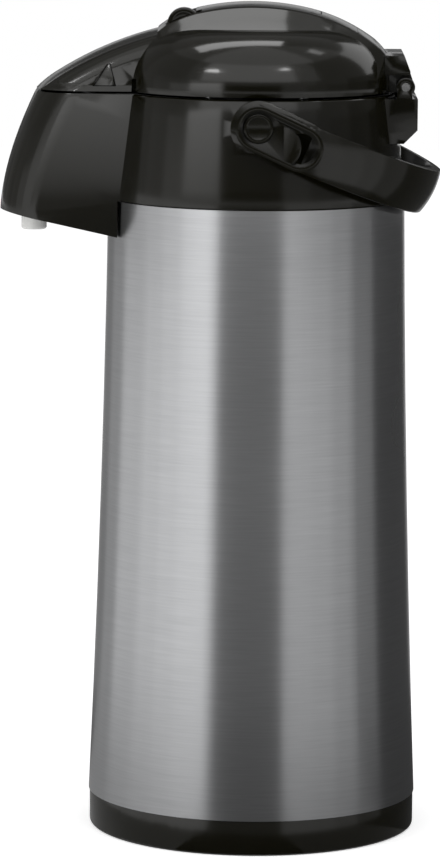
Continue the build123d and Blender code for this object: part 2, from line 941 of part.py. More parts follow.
def collar():
    form = collar_form() - collar_hollow()
    form -= drum(deck_hole_radius, deck_low_z - over, deck_top_z + over)
    for x, y in deck_screw_places():
        form += drum(screw_boss_radius, deck_low_z - deck_boss_drop, deck_low_z + over, x, y)
        form -= drum(screw_radius, deck_top_z - screw_length, deck_top_z + over, x, y)
    for x, y in cover_screw_places():
        form += drum(screw_boss_radius, cover_pad_z(), deck_low_z + over, x, y)
        form -= drum(screw_radius, cover_pad_z() - over, cover_pad_z() + screw_length, x, y)
    form -= latch_slot(deck_low_z - over, deck_top_z + over)
    pin_length = knuckle_half_length + ear_gap + ear_thickness + over
    form -= rod(pin_radius, (-pin_length, hinge_y, hinge_z), (pin_length, hinge_y, hinge_z))
    face = handle_inner_half_width
    tail = rod(
        stud_tail_radius, (face - boss_gap - stud_tail_length, pivot_y, pivot_z), (face, pivot_y, pivot_z)
    )
    return form - both_sides(tail)


def throat_ring():
    low = lip_z + neck_gasket_thickness
    funnel_top = seat_z - throat_wall
    body = turned(
        (stem_seat_radius, low),
        (stem_seat_radius, stem_seat_z),
        (stem_bore_radius, stem_seat_z),
        (stem_bore_radius, stem_seat_z + throat_land),
        (seat_radius, seat_z),
        (throat_radius, seat_z),
        (throat_radius, deck_top_z + throat_flange_thickness),
        (flange_radius, deck_top_z + throat_flange_thickness),
        (flange_radius, deck_top_z),
        (throat_outer_radius, deck_top_z),
        (throat_outer_radius, funnel_top),
        (seat_radius + throat_wall, funnel_top),
        (stem_bore_radius + throat_wall, stem_seat_z + stem_seat_thickness),
        (neck_outer_radius + neck_gasket_overlap, stem_seat_z),
        (neck_outer_radius + neck_gasket_overlap, low),
    )
    body -= rod(tube_radius + pipe_hole_fit, (0, -pipe_socket_reach, pipe_z), (0, -flange_radius, pipe_z))
    top = deck_top_z + throat_flange_thickness
    for x, y in deck_screw_places():
        body -= drum(screw_radius + screw_hole_fit, deck_top_z - over, top + over, x, y)
    return body


def throat_screws():
    head_z = deck_top_z + throat_flange_thickness
    return Compound(children=[screw(x, y, head_z, -1).solids()[0] for x, y in deck_screw_places()])


# Stem, pipe and nozzle

def stem_head():
    """The air-holed disc, the ball valve's housing and the pipe's socket in one piece."""
    hub_low = stem_seat_z - stem_hub_drop
    hub_top = stem_seat_z + stem_hub_top
    disc_top = stem_seat_z + stem_flange_thickness
    seat_top = stem_seat_z + ball_seat_height
    head = drum(stem_bore_radius - stem_fit, stem_seat_z, disc_top)
    for k in range(air_hole_count):
        turn = radians(360 / air_hole_count * (k + 0.5))
        x, y = air_hole_circle * cos(turn), air_hole_circle * sin(turn)
        head -= drum(air_hole_radius, stem_seat_z - over, disc_top + over, x, y)
    head += drum(stem_hub_radius, hub_low, hub_top)
    head += rod(tube_radius + pipe_socket_wall, (0, 0, pipe_z), (0, -pipe_socket_reach, pipe_z))
    head -= drum(tube_radius, hub_low, stem_seat_z)
    head -= drum(ball_seat_radius, stem_seat_z - over, seat_top)
    head -= drum(chamber_radius, seat_top, hub_top - stem_roof)
    head -= rod(tube_bore, (0, 0, pipe_z), (0, -pipe_start, pipe_z))
    head -= rod(tube_radius, (0, -pipe_start, pipe_z), (0, -pipe_socket_reach - over, pipe_z))
    return head


def check_ball():
    seat = stem_seat_z + ball_seat_height
    rise = sqrt(ball_radius**2 - ball_seat_radius**2) + ball_seat_gap
    return Pos(0, 0, seat + rise) * Sphere(ball_radius)


def siphon_tube():
    low = liner_floor_z + liner_floor_gap + glass_wall + tube_floor_gap
    half = tube_notch_width / 2
    tube = ring(tube_radius, tube_bore, low, stem_seat_z)
    notch = block(-half, half, -tube_radius - over, tube_radius + over, low - over, low + tube_notch_height)
    return tube - notch


def pipe_seal():
    plane = Plane(origin=(0, -pipe_socket_reach - pipe_seal_wire, pipe_z), z_dir=(0, -1, 0))
    return plane * Torus(tube_radius + pipe_seal_wire, pipe_seal_wire)


def delivery_pipe():
    low = shoulder_z - nozzle_drop + nozzle_height - nozzle_socket
    centre = pipe_z - pipe_bend
    turn = pipe_bend * sqrt(0.5)
    path = Curve() + [
        Line((0, -pipe_start, pipe_z), (0, pipe_bend - nozzle_reach, pipe_z)),
        ThreePointArc(
            (0, pipe_bend - nozzle_reach, pipe_z),
            (0, pipe_bend - nozzle_reach - turn, centre + turn),
            (0, -nozzle_reach, centre),
        ),
        Line((0, -nozzle_reach, centre), (0, -nozzle_reach, low)),
    ]
    start = Plane(origin=(0, -pipe_start, pipe_z), z_dir=(0, -1, 0))
    return sweep(start * (Circle(tube_radius) - Circle(tube_bore)), path)


def outlet_nozzle():
    low = shoulder_z - nozzle_drop
    high = low + nozzle_height
    return Pos(0, -nozzle_reach, 0) * turned(
        (nozzle_bore, low),
        (nozzle_radius - nozzle_edge, low),
        (nozzle_radius, low + nozzle_edge),
        (nozzle_radius, high),
        (tube_radius, high),
        (tube_radius, high - nozzle_socket),
        (nozzle_bore, high - nozzle_socket),
    )


def spout_cover():
    """The plate that closes the spout housing from below, sunk inside its lower edge."""
    low = cover_inset
    high = cover_inset + cover_thickness
    slope = [
        (0, beak_lip_z(0) + low),
        (-beyond, beak_lip_z(-beyond) + low),
        (-beyond, beak_lip_z(-beyond) + high),
        (0, beak_lip_z(0) + high),
    ]
    rear_radius = collar_rim_radius + beak_rear_gap + beak_rear_wall + cover_fit
    under = shoulder_z - 2 * beak_drop_rear
    pad = cover_pad_z()
    cover = plate(slope, -beyond, beyond) & beak_housing(collar_wall + cover_fit)
    cover -= drum(rear_radius, under, shoulder_z + beak_drop_rear)
    for x, y in cover_screw_places():
        foot = beak_lip_z(y) + cover_inset + cover_thickness / 4
        cover += drum(screw_head_radius + cover_boss_wall, foot, pad, x, y)
        cover -= drum(screw_head_radius + screw_head_fit, under, pad - cover_screw_sink, x, y)
        cover -= drum(screw_radius + screw_hole_fit, under, pad + over, x, y)
    return cover - drum(nozzle_radius + nozzle_fit, under, shoulder_z + beak_drop_rear, 0, -nozzle_reach)


def spout_cover_screws():
    head_z = cover_pad_z() - cover_screw_sink
    return Compound(children=[screw(x, y, head_z, 1).solids()[0] for x, y in cover_screw_places()])


# Hinge pin and handle

def hinge_pin():
    reach = knuckle_half_length + ear_gap + ear_thickness
    return rod(pin_radius, (-reach, hinge_y, hinge_z), (reach, hinge_y, hinge_z))


def pivot_stud():
    """One stepped stud on +X: tail in the collar's boss, neck in the handle, head outside."""
    face = handle_inner_half_width - boss_gap
    seat = handle_outer_half_width - eye_recess_depth + stud_head_gap
    top = seat + stud_head_thickness
    tail = rod(stud_tail_radius, (face - stud_tail_length, pivot_y, pivot_z), (face, pivot_y, pivot_z))
    neck = rod(stud_neck_radius, (face, pivot_y, pivot_z), (seat, pivot_y, pivot_z))
    head = rod(stud_head_radius, (seat, pivot_y, pivot_z), (top, pivot_y, pivot_z))
    dish_radius = stud_head_radius - stud_rim
    dish = rod(dish_radius, (top - stud_dish_depth, pivot_y, pivot_z), (top + over, pivot_y, pivot_z))
    return tail + neck + head - dish


def eye_shape(radius, x0, x1):
    """An obround around the handle's eye, between two X values, in the handle's own frame."""
    tilt = radians(eye_tilt)
    far_y, far_z = eye_length * cos(tilt), -eye_length * sin(tilt)
    side_y, side_z = radius * sin(tilt), radius * cos(tilt)
    ends = rod(radius, (x0, 0, 0), (x1, 0, 0)) + rod(radius, (x0, far_y, far_z), (x1, far_y, far_z))
    corners = [
        (side_y, side_z),
        (far_y + side_y, far_z + side_z),
        (far_y - side_y, far_z - side_z),
        (-side_y, -side_z),
    ]
    return ends + plate(corners, x0, x1)


def handle_frame():
    """Placing of the handle's own frame, where the arms run along +Y from the pivots."""
    return Pos(0, pivot_y, pivot_z) * Rot(-handle_slope, 0, 0)


def handle_strap():
    """The bent strap: two flat arms joined by a round bow, with its side outline."""
    inner = handle_inner_half_width
    bow = handle_bow_centre
    edge = grip_thickness - grip_edge_drop
    section = make_face(
        [
            Line((0, -grip_low), (0, grip_top)),
            Line((0, grip_top), (edge, grip_top)),
            ThreePointArc((edge, grip_top), (grip_thickness, (grip_top - grip_low) / 2), (edge, -grip_low)),
            Line((edge, -grip_low), (0, -grip_low)),
        ]
    )
    section = fillet(section.vertices(), handle_edge_round)
    path = Curve() + [
        Line((inner, -eye_radius, 0), (inner, bow, 0)),
        ThreePointArc((inner, bow, 0), (0, bow + inner, 0), (-inner, bow, 0)),
        Line((-inner, bow, 0), (-inner, -eye_radius, 0)),
    ]
    start = Plane(origin=(inner, -eye_radius, 0), x_dir=(1, 0, 0), z_dir=(0, 1, 0))
    strap = sweep(start * section, path)
    flat = handle_outer_half_width
    strap = strap & block(-flat, flat, -beyond, beyond, -beyond, beyond)
    far = handle_reach + over
    low = -grip_low - over
    middle = (eye_radius + handle_reach) / 2
    outline = Curve() + [
        Polyline((eye_radius, arm_top), (far, arm_top), (far, low), (handle_reach, low)),
        ThreePointArc((handle_reach, low), (middle, -arm_low_middle), (eye_radius, -arm_low)),
        Line((eye_radius, -arm_low), (eye_radius, arm_top)),
    ]
    return strap & (slab(outline, -beyond, beyond) + eye_shape(eye_radius, -beyond, beyond))


def handle():
    """A bail: arms with a sunk eye round each pivot, a stop tongue in the eye and a grip."""
    inner = handle_inner_half_width
    flat = handle_outer_half_width
    floor = flat - eye_recess_depth
    top = flat + eye_ridge_height
    ridge = eye_shape(eye_ridge_radius, flat - over, top)
    ridge -= eye_shape(eye_recess_radius, floor - over, top + over)
    recess = eye_shape(eye_recess_radius, floor, top + over)
    bore = rod(stud_neck_radius + running_clearance, (inner - over, 0, 0), (flat + over, 0, 0))

    turn = radians(handle_slope)
    y, z = eye_tongue_centre
    tongue_y = y * cos(turn) - z * sin(turn)
    tongue_z = y * sin(turn) + z * cos(turn)
    near = inner - over
    round_end = rod(eye_tongue_radius + eye_tongue_gap, (near, tongue_y, tongue_z), (top, tongue_y, tongue_z))
    tilt = radians(eye_tilt)
    far_y, far_z = eye_length * cos(tilt), -eye_length * sin(tilt)
    window_radius = eye_recess_radius - eye_window_wall
    window = rod(window_radius, (near, far_y, far_z), (floor + over, far_y, far_z)) - round_end

    raised = floor + eye_tongue_height
    tongue = rod(eye_tongue_radius, (floor - over / 2, tongue_y, tongue_z), (raised, tongue_y, tongue_z))
    start = Rot(handle_slope, 0, 0) * block(0, beyond, eye_tongue_start, beyond, -beyond, beyond)
    tongue = tongue & start & eye_shape(eye_recess_radius, floor - over, top)
    strap = handle_strap() + both_sides(ridge) - both_sides(recess) - both_sides(bore + window)
    return handle_frame() * (strap + both_sides(tongue))


# Lid

def screw_posts():
    x, y = lid_screw_x, lid_screw_y
    return [(x, y), (x, -y), (-x, y), (-x, -y)]


def hinge_screw_places():
    return [(-hinge_screw_x, hinge_screw_y), (hinge_screw_x, hinge_screw_y)]


def top_opening():
    """The opening for the push plate, the lock roller and its wheel."""
    side = plate_half_width + button_gap
    low = lid_z + dome_height / 2
    high = lid_z + 2 * spine_height
    front = roller_y - roller_radius - roller_gap
    wheel_front = roller_y - wheel_radius - roller_gap
    opening = block(-side, side, front, bridge_rear_y, low, high)
    return opening + block(wheel_x - roller_gap, side, wheel_front, bridge_rear_y, low, high)


def lid_shell():
    shell = lid_form() - (dome(lid_wall) + spine_on_dome(lid_wall, lid_wall) + beak_lid(lid_wall))
    shell -= top_opening()
    trunnion_x = plate_half_width + button_gap + roller_trunnion_length
    trunnion_bore = roller_trunnion_radius + running_clearance
    shell -= rod(trunnion_bore, (-trunnion_x, roller_y, roller_z), (trunnion_x, roller_y, roller_z))
    for x, y in screw_posts():
        post = drum(screw_boss_radius, base_plate_top_z, lid_z + dome_height, x, y)
        shell += post & dome(lid_wall / 2)
        shell -= drum(screw_radius, base_plate_top_z - over, base_plate_top_z + screw_length, x, y)
    latch_side = [(y, lid_z + z) for y, z in latch_points]
    opening = offset(make_face(Polyline(*latch_side, close=True)), latch_gap, kind=Kind.INTERSECTION)
    shell -= both_sides(side_extrude(opening, 0, beak_half_width + beak_lip + over))
    recess_top = lid_z + crease_recess_height
    recess = drum(crease_recess_radius, lid_z - over, recess_top, crease_recess_x, -crease_recess_y)
    shell -= both_sides(recess)
    half = hinge_tongue_half_width + hinge_tongue_fit
    top = hinge_tongue_top_z + hinge_tongue_fit
    return shell - block(-half, half, dome_radius / 2, dome_radius + over, lid_z - over, top)


def hinge_block():
    """The block on the lid's back with the knuckle, held by a tongue inside the lid."""
    top = lid_z + block_height
    width = knuckle_half_length + ear_gap + ear_thickness
    under = hinge_z + knuckle_radius + block_under_gap
    rear = block_reach + block_slant
    root = dome_radius - block_root
    web_front = dome_radius - web_root
    head = plate(
        [(root, top), (block_reach, top), (rear, top - block_slant_height), (rear, under), (root, under)],
        -width,
        width,
    )
    web = plate(
        [
            (web_front, under + over),
            (rear, under + over),
            (hinge_y + knuckle_radius, hinge_z),
            (hinge_y, hinge_z - knuckle_radius + over / 2),
            (dome_radius + over, lid_z),
            (web_front, lid_z),
        ],
        -knuckle_half_length,
        knuckle_half_length,
    )
    reach = knuckle_half_length
    knuckle = rod(knuckle_radius, (-reach, hinge_y, hinge_z), (reach, hinge_y, hinge_z))
    body = head + web + knuckle - (dome() + spine_on_dome())
    half = hinge_tongue_half_width
    front = dome_radius - hinge_tongue_root
    body += block(-half, half, front, dome_radius + over, base_plate_top_z, hinge_tongue_top_z)
    body -= rod(pin_radius + running_clearance, (-width, hinge_y, hinge_z), (width, hinge_y, hinge_z))
    for x, y in hinge_screw_places():
        body -= drum(screw_radius, base_plate_top_z - over, hinge_tongue_top_z + over, x, y)
    return body


def bridge_cover():
    """The fixed inlay between the push plate and the rear of the spine."""
    side = plate_half_width + button_gap - bridge_fit
    rear = bridge_rear_y - bridge_fit
    ledge_front = bridge_rear_y - bridge_ledge
    inner = side - bridge_side_step
    low = lid_z
    high = lid_z + 2 * spine_height
    strip = spine() & block(-side, side, plate_rear_y - plate_corner, rear, low, high)
    strip -= spine(plate_wall, 0)
    well = rounded_plan(plate_half_width, plate_front_y, plate_rear_y, plate_corner, button_gap)
    strip -= upright(well, low, high)
    joint = block(-inner, inner, ledge_front, rear, low, high)
    tongue = block(-inner, inner, ledge_front, bridge_rear_y + bridge_tongue, low, high)
    ledge = spine(plate_wall - over / 2, lid_wall) & joint
    ledge += spine(lid_wall + running_clearance, lid_wall) & tongue
    return strip + (ledge - spine(2 * plate_wall, lid_wall))


def lid_base():
    """The lid's floor plate with the bellows' cup hanging from it."""
    low, high = lid_z, base_plate_top_z
    body = drum(dome_radius - lid_wall - lid_base_fit, low, high)
    body += beak_lid(lid_wall + lid_base_fit) & block(-beyond, beyond, -beyond, 0, low, high)
    body += drum(cup_outer_radius, cup_floor_z, high)
    body -= drum(cup_inner_radius, bellows_low_z, high + over)
    for k in range(outlet_hole_count):
        turn = radians(360 / outlet_hole_count * (k + 0.5))
        x, y = outlet_hole_circle * cos(turn), outlet_hole_circle * sin(turn)
        body -= drum(outlet_hole_radius, cup_floor_z - over, bellows_low_z + over, x, y)
    body -= drum(flap_stem_radius, cup_floor_z - over, bellows_low_z + over)
    for x, y in screw_posts() + hinge_screw_places():
        body -= drum(screw_radius + screw_hole_fit, low - over, high + over, x, y)
    body -= latch_slot(low - over, high + over)
    half_x, half_y = latch_post_half_width, latch_post_half_depth
    post_top = latch_spring_z + latch_spring_radius + latch_post_crown
    return body + block(-half_x, half_x, latch_y - half_y, latch_y + half_y, high, post_top)


def lid_gasket():
    outer = cup_outer_radius + gasket_lip
    flat = ring(outer, seat_radius, cup_floor_z - gasket_height, cup_floor_z)
    return flat + ring(outer, cup_outer_radius, cup_floor_z, cup_floor_z + gasket_collar_height)


def lid_screws():
    places = screw_posts() + hinge_screw_places()
    return Compound(children=[screw(x, y, lid_z, 1).solids()[0] for x, y in places])


def outlet_flap():
    flap = drum(flap_radius, cup_floor_z - flap_thickness, cup_floor_z)
    flap += drum(flap_stem_radius, cup_floor_z, bellows_low_z)
    return flap + drum(flap_knob_radius, bellows_low_z, bellows_low_z + flap_knob_height)


def bellows():
    """A folded rubber tube between the cup's floor and the pressure plate."""
    pitch = (bellows_top_z - bellows_low_z) / bellows_folds
    outside = [(bellows_root_radius, bellows_low_z)]
    for k in range(bellows_folds):
        outside.append((bellows_radius, bellows_low_z + pitch * (k + 0.5)))
        outside.append((bellows_root_radius, bellows_low_z + pitch * (k + 1)))
    inside = [(r - bellows_slant_wall, z) for r, z in reversed(outside)]
    return turned(*outside, *inside)


def coil(radius, wire, height, turns):
    """A helical spring standing on z = 0, with its axis on Z."""
    path = Helix(pitch=(height - 2 * wire) / turns, height=height - 2 * wire, radius=radius)
    start = Plane(origin=path @ 0, z_dir=path % 0)
    return Pos(0, 0, wire) * sweep(start * Circle(wire), path, is_frenet=True)


def bellows_spring():
    height = bellows_top_z - bellows_low_z - 2 * spring_end_gap
    foot_z = bellows_low_z + spring_end_gap
    return Pos(0, 0, foot_z) * coil(spring_radius, spring_wire_radius, height, spring_turns)


# Push button and lock

def push_plate():
    """The push plate: a shell with a skirt, a post below and a notch beside the lock wheel."""
    low = lid_z
    high = lid_z + 2 * spine_height
    edge = plate_half_width
    notch_rear = roller_y + wheel_radius + roller_gap
    notch_side = wheel_x - roller_gap
    plan = rounded_plan(edge, plate_front_y, plate_rear_y, plate_corner)
    plan -= corner_face(notch_side, edge + over, plate_front_y - over, notch_rear)
    hollow = rounded_plan(edge, plate_front_y, plate_rear_y, plate_corner, -plate_wall)
    hollow -= corner_face(notch_side - plate_wall, edge, plate_front_y, notch_rear + plate_wall)
    outer = (spine() & upright(plan, low, high)) - spine(plate_skirt, 0)
    inner = spine(plate_wall, 0) & upright(hollow, low, high)
    post = drum(post_radius, pressure_top_z + valve_thickness, spine_top_z(0) - over)
    return outer - inner + post


def corner_face(x0, x1, y0, y1):
    """A rectangle in plan between two corners, as a face."""
    return Pos((x0 + x1) / 2, (y0 + y1) / 2, 0) * Rectangle(x1 - x0, y1 - y0)


def pressure_plate():
    disc = drum(bellows_root_radius + pressure_plate_margin, bellows_top_z, pressure_top_z)
    outer = post_radius + post_socket_wall
    socket = ring(outer, post_radius, pressure_top_z, pressure_top_z + post_socket_height)
    return disc + socket - drum(valve_hole_radius, bellows_top_z - over, pressure_top_z + over)


def intake_valve():
    return drum(valve_radius, pressure_top_z, pressure_top_z + valve_thickness)


def lock_roller():
    """The lock: a roller on two pins, with a thumb wheel at its +X end and a cam below."""
    side = plate_half_width + roller_side_reach
    pin = plate_half_width + button_gap + roller_trunnion_length - roller_trunnion_gap
    barrel = rod(roller_radius, (-side, roller_y, roller_z), (side, roller_y, roller_z))
    wheel = rod(wheel_radius, (wheel_x, roller_y, roller_z), (side, roller_y, roller_z))
    dish = rod(wheel_dish_radius, (side - wheel_dish_depth, roller_y, roller_z), (side, roller_y, roller_z))
    pins = rod(roller_trunnion_radius, (-pin, roller_y, roller_z), (pin, roller_y, roller_z))
    cam = block(-cam_half_width, cam_half_width, 0, cam_reach, -cam_thickness / 2, cam_thickness / 2)
    cam = Pos(0, roller_y, roller_z) * Rot(cam_angle, 0, 0) * cam
    return barrel + wheel - dish + pins + cam


# Release buttons

def latch():
    """The release button on +X: wedge outside, flange, arm and hook inside."""
    outline = [(y, lid_z + z) for y, z in latch_points]
    flange_low = latch_flange_x - latch_flange_thickness
    wedge = plate(outline, flange_low, latch_face)
    slope = Plane(
        origin=(latch_face - latch_facet_depth, outline[0][0], outline[0][1]),
        x_dir=(0, 0, 1),
        z_dir=latch_facet_lean,
    )
    wedge -= extrude(slope * Rectangle(beyond, beyond), beyond)
    face = make_face(Polyline(*outline, close=True))
    flange_face = offset(face, latch_flange_margin, kind=Kind.INTERSECTION)
    flange = side_extrude(flange_face, flange_low, latch_flange_x)
    flange = flange & block(0, beyond, -beyond, 0, base_plate_top_z + latch_flange_rise, lid_z + dome_height)
    half = latch_arm_width / 2
    arm_inner = latch_arm_x - latch_arm_thickness
    arm_top = latch_spring_z + latch_spring_radius + latch_post_crown
    nose_top = deck_low_z - latch_nose_gap
    nose_low = nose_top - latch_nose_height
    arm = block(arm_inner, latch_arm_x, latch_y - half, latch_y + half, nose_low, arm_top)
    nose = block(arm_inner, latch_arm_x + latch_nose, latch_y - half, latch_y + half, nose_low, nose_top)
    return wedge + flange + arm + nose


def latch_spring():
    length = latch_arm_x - latch_arm_thickness - latch_post_half_width
    spring = coil(latch_spring_radius, latch_spring_wire, length, latch_spring_turns)
    return Pos(latch_post_half_width, latch_y, latch_spring_z) * Rot(0, 90, 0) * spring


def left(piece):
    return mirror(piece, Plane.YZ)


nodes = {
    "base_cap": base_cap(),
    "body_sleeve": body_sleeve(),
    "liner_plug": liner_plug(),
    "liner_cushion": liner_cushion(),
    "liner_outer": liner_outer(),
    "liner_inner": liner_inner(),
    "liner_spacers": liner_spacers(),
    "neck_gasket": neck_gasket(),
    "collar": collar(),
    "throat_ring": throat_ring(),
    "throat_screws": throat_screws(),
    "stem_head": stem_head(),
    "check_ball": check_ball(),
    "siphon_tube": siphon_tube(),
    "pipe_seal": pipe_seal(),
    "delivery_pipe": delivery_pipe(),
    "outlet_nozzle": outlet_nozzle(),
    "spout_cover": spout_cover(),
    "spout_cover_screws": spout_cover_screws(),
    "hinge_pin": hinge_pin(),
    "pivot_stud_right": pivot_stud(),
    "pivot_stud_left": left(pivot_stud()),
    "handle": handle(),
    "lid_shell": lid_shell(),
    "hinge_block": hinge_block(),
    "bridge_cover": bridge_cover(),
    "lid_base": lid_base(),
    "lid_gasket": lid_gasket(),
    "lid_screws": lid_screws(),
    "outlet_flap": outlet_flap(),
    "bellows": bellows(),
    "bellows_spring": bellows_spring(),
    "push_plate": push_plate(),
    "pressure_plate": pressure_plate(),
    "intake_valve": intake_valve(),
    "lock_roller": lock_roller(),
    "latch_right": latch(),
    "latch_left": left(latch()),
    "latch_spring_right": latch_spring(),
    "latch_spring_left": left(latch_spring()),
}

os.makedirs("parts", exist_ok=True)
for name, piece in nodes.items():
    export_step(piece, f"parts/{name}.step")
    print(name, len(piece.solids()), round(piece.volume))
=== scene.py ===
import json
import math

import bpy
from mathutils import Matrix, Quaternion, Vector


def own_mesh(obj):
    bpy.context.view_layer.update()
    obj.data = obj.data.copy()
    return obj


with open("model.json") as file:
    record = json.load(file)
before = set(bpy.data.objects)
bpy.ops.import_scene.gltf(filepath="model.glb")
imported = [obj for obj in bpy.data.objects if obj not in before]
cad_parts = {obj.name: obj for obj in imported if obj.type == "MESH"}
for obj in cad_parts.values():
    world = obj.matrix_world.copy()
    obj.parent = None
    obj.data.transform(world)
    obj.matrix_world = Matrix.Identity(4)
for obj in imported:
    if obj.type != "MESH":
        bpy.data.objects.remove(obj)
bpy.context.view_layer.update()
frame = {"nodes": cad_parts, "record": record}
nodes = frame["nodes"]

# Lengths are in metres and angles in degrees. The spout points to -Y, the handle lies at +Y and the
# photograph was taken from +X.

# The photograph's camera, a little above the object's middle
CAMERA_DISTANCE = 2.25
CAMERA_HEIGHT = 0.514
CAMERA_AIM = Vector((0.0, -0.0166, 0.1932))
CAMERA_ROLL = 0.45
CAMERA_LENS = 196.8
CAMERA_SENSOR = 36.0
CAMERA_FAR_CLIP = 50.0

# Points this close are one, and an edge sharper than the limit stays a crease
SAME_POINT = 0.000002
SMOOTH_LIMIT = 24

# Softened edges of the moulded pieces: the least angle of such an edge, and its width on each piece
SOFT_EDGE_ANGLE = 35
SOFT_EDGE_SEGMENTS = 2
SOFT_EDGES = {
    "base_cap": 0.0003,
    "collar": 0.0003,
    "handle": 0.0004,
    "hinge_block": 0.0004,
    "latch_left": 0.0003,
    "latch_right": 0.0003,
    "lid_shell": 0.0003,
    "lock_roller": 0.0002,
    "outlet_nozzle": 0.0003,
    "pivot_stud_left": 0.0003,
    "pivot_stud_right": 0.0003,
    "push_plate": 0.0003,
    "spout_cover": 0.0003,
}

# Bellows and springs that get their own mesh copy, though nothing makes them shorter: piece, joint,
# axis, and whether it is the high end that stays
COMPRESSED = [
    ("bellows", "push_button", 2, False),
    ("bellows_spring", "push_button", 2, False),
    ("latch_spring_right", "latch_right", 0, False),
    ("latch_spring_left", "latch_left", 0, True),
]

# Nearly all values of a noise texture lie between these two
NOISE_LOW = 0.3
NOISE_HIGH = 0.7
BUMP_DEPTH = 0.0002

# Moulded materials: slot, then name, darkest and lightest colour, least and most roughness, and the
# strength and scale of the surface's ripple
MOULDED_SCALE = 18
MOULDED = {
    "black_gloss": (
        "gloss_black", (0.0034, 0.0031, 0.0010), (0.0052, 0.0047, 0.0018), 0.12, 0.18, 0.015, 900),
    "black_matt": (
        "satin_black", (0.0040, 0.0037, 0.0022), (0.0065, 0.0060, 0.0040), 0.26, 0.34, 0.04, 1400),
    "white_plastic": (
        "white_plastic", (0.78, 0.78, 0.76), (0.86, 0.86, 0.84), 0.28, 0.36, 0.02, 900),
    "clear_white_plastic": (
        "milky_plastic", (0.66, 0.68, 0.68), (0.76, 0.77, 0.77), 0.3, 0.4, 0.02, 900),
    "grey_rubber": (
        "grey_rubber", (0.28, 0.28, 0.27), (0.36, 0.36, 0.35), 0.6, 0.75, 0.1, 1500),
    "black_rubber": (
        "black_rubber", (0.018, 0.018, 0.018), (0.03, 0.03, 0.03), 0.6, 0.75, 0.1, 1500),
}

# Plain metals: slot, then name, noise scale, darkest and lightest colour, least and most roughness,
# and metallic share
METALS = {
    "silvered_glass": ("silvered_glass", 12, (0.55, 0.57, 0.58), (0.75, 0.77, 0.78), 0.05, 0.12, 0.9),
    "screw_steel": ("screw_steel", 40, (0.5, 0.5, 0.5), (0.64, 0.64, 0.64), 0.18, 0.3, 1.0),
    "ball_steel": ("ball_steel", 40, (0.5, 0.5, 0.5), (0.64, 0.64, 0.64), 0.18, 0.3, 1.0),
}

# The steel sleeve: its fine lines are noise pressed flat along Z, so they run round the body
BRUSHED_SLOT = "steel_brushed"
BRUSHED_LINE_SCALE = 40
BRUSHED_LINE_DETAIL = 2.0
BRUSHED_LINE_STRETCH = (1, 1, 30)
BRUSHED_LINE_BUMP = 0.04
BRUSHED_BROAD_SCALE = 7
BRUSHED_DARK = (0.43, 0.435, 0.445)
BRUSHED_LIGHT = (0.55, 0.555, 0.565)
BRUSHED_ROUGHNESS = (0.27, 0.33)
BRUSHED_ANISOTROPY = 0.8
BRUSHED_ROTATION = 0.25

FLOOR_SIZE = 8
FLOOR_NOISE_SCALE = 2
FLOOR_DARK = (0.86, 0.86, 0.86)
FLOOR_LIGHT = (0.9, 0.9, 0.9)
FLOOR_ROUGHNESS = 0.6
# The floor's own brightness for the camera, which lifts it to the white of the backdrop
FLOOR_LIFT = 0.5

WHITE = (1, 1, 1, 1)
BLACK = (0, 0, 0, 1)
# The world's light on the object
WORLD_GREY = (0.62, 0.62, 0.62, 1)

# Soft lamps, which reflections don't show: name, place, aim, size and power in watts
LAMPS = [
    ("soft_left", (1.1, -1.5, 0.9), (0, 0, 0.2), (0.7, 1.6), 9),
    ("soft_right", (1.3, 1.3, 0.9), (0, 0, 0.2), (0.7, 1.6), 6),
    ("soft_top", (0.2, 0, 1.8), (0, 0, 0.3), (0.9, 0.9), 5),
]

# The cards and flags round the object, which only reflections show. A band goes from one edge to
# another, each given by its radius and Z. Its cards are listed by the angle at which each starts,
# from +X towards +Y, and by brightness. Each ends where the next starts, and the last at +180.
BAND_END = 180
RING_STEP = 3
CARD_BANDS = [
    ((0.36, 0.0), (0.36, 0.29), [
        (-180, 0.62), (-156, 0.24), (-132, 0.42), (-111, 0.80), (-86, 0.98), (-68, 1.10), (-53, 1.20),
        (-27, 0.15), (19, 0.70), (40, 0.66), (55, 0.54), (72, 0.28), (93, 0.07), (150, 0.40),
    ]),
    ((0.62, 0.29), (0.62, 0.41), [
        (-180, 0.12), (-140, 0.20), (-118, 0.30), (-92, 0.40), (-74, 0.70), (-56, 1.10), (-27, 0.03),
        (19, 0.32), (40, 0.22), (58, 0.16), (78, 0.10), (100, 0.04), (150, 0.05),
    ]),
    ((0.62, 0.41), (0.62, 0.49), [
        (-180, 0.55), (-140, 0.24), (-118, 0.30), (-92, 0.36), (-56, 0.90), (-27, 0.25), (19, 0.35),
        (48, 0.24), (78, 0.14), (105, 0.10), (150, 0.55),
    ]),
    ((0.62, 0.49), (0.62, 1.00), [
        (-180, 0.10), (-135, 0.22), (-105, 0.30), (-60, 0.42), (-47, 1.40), (32, 0.60), (52, 0.24),
        (102, 1.50), (142, 0.12),
    ]),
    ((0.62, 1.00), (0.0, 1.00), [
        (-180, 0.28), (-110, 0.45), (-60, 1.00), (60, 0.50), (110, 0.28),
    ]),
    ((0.36, 0.001), (0.0, 0.001), [
        (-180, 0.10), (-140, 0.30), (-27, 0.03), (19, 0.14), (72, 0.05),
    ]),
]

# A card close to the spout's side: its ends in X and Y, and the Z and brightness of its two edges
NEAR_CARD_ENDS = ((0.15, -0.066), (0.138, -0.165))
NEAR_CARD_LOW = 0.30
NEAR_CARD_HIGH = 0.38
NEAR_CARD_LOW_STRENGTH = 0.60
NEAR_CARD_HIGH_STRENGTH = 2.4

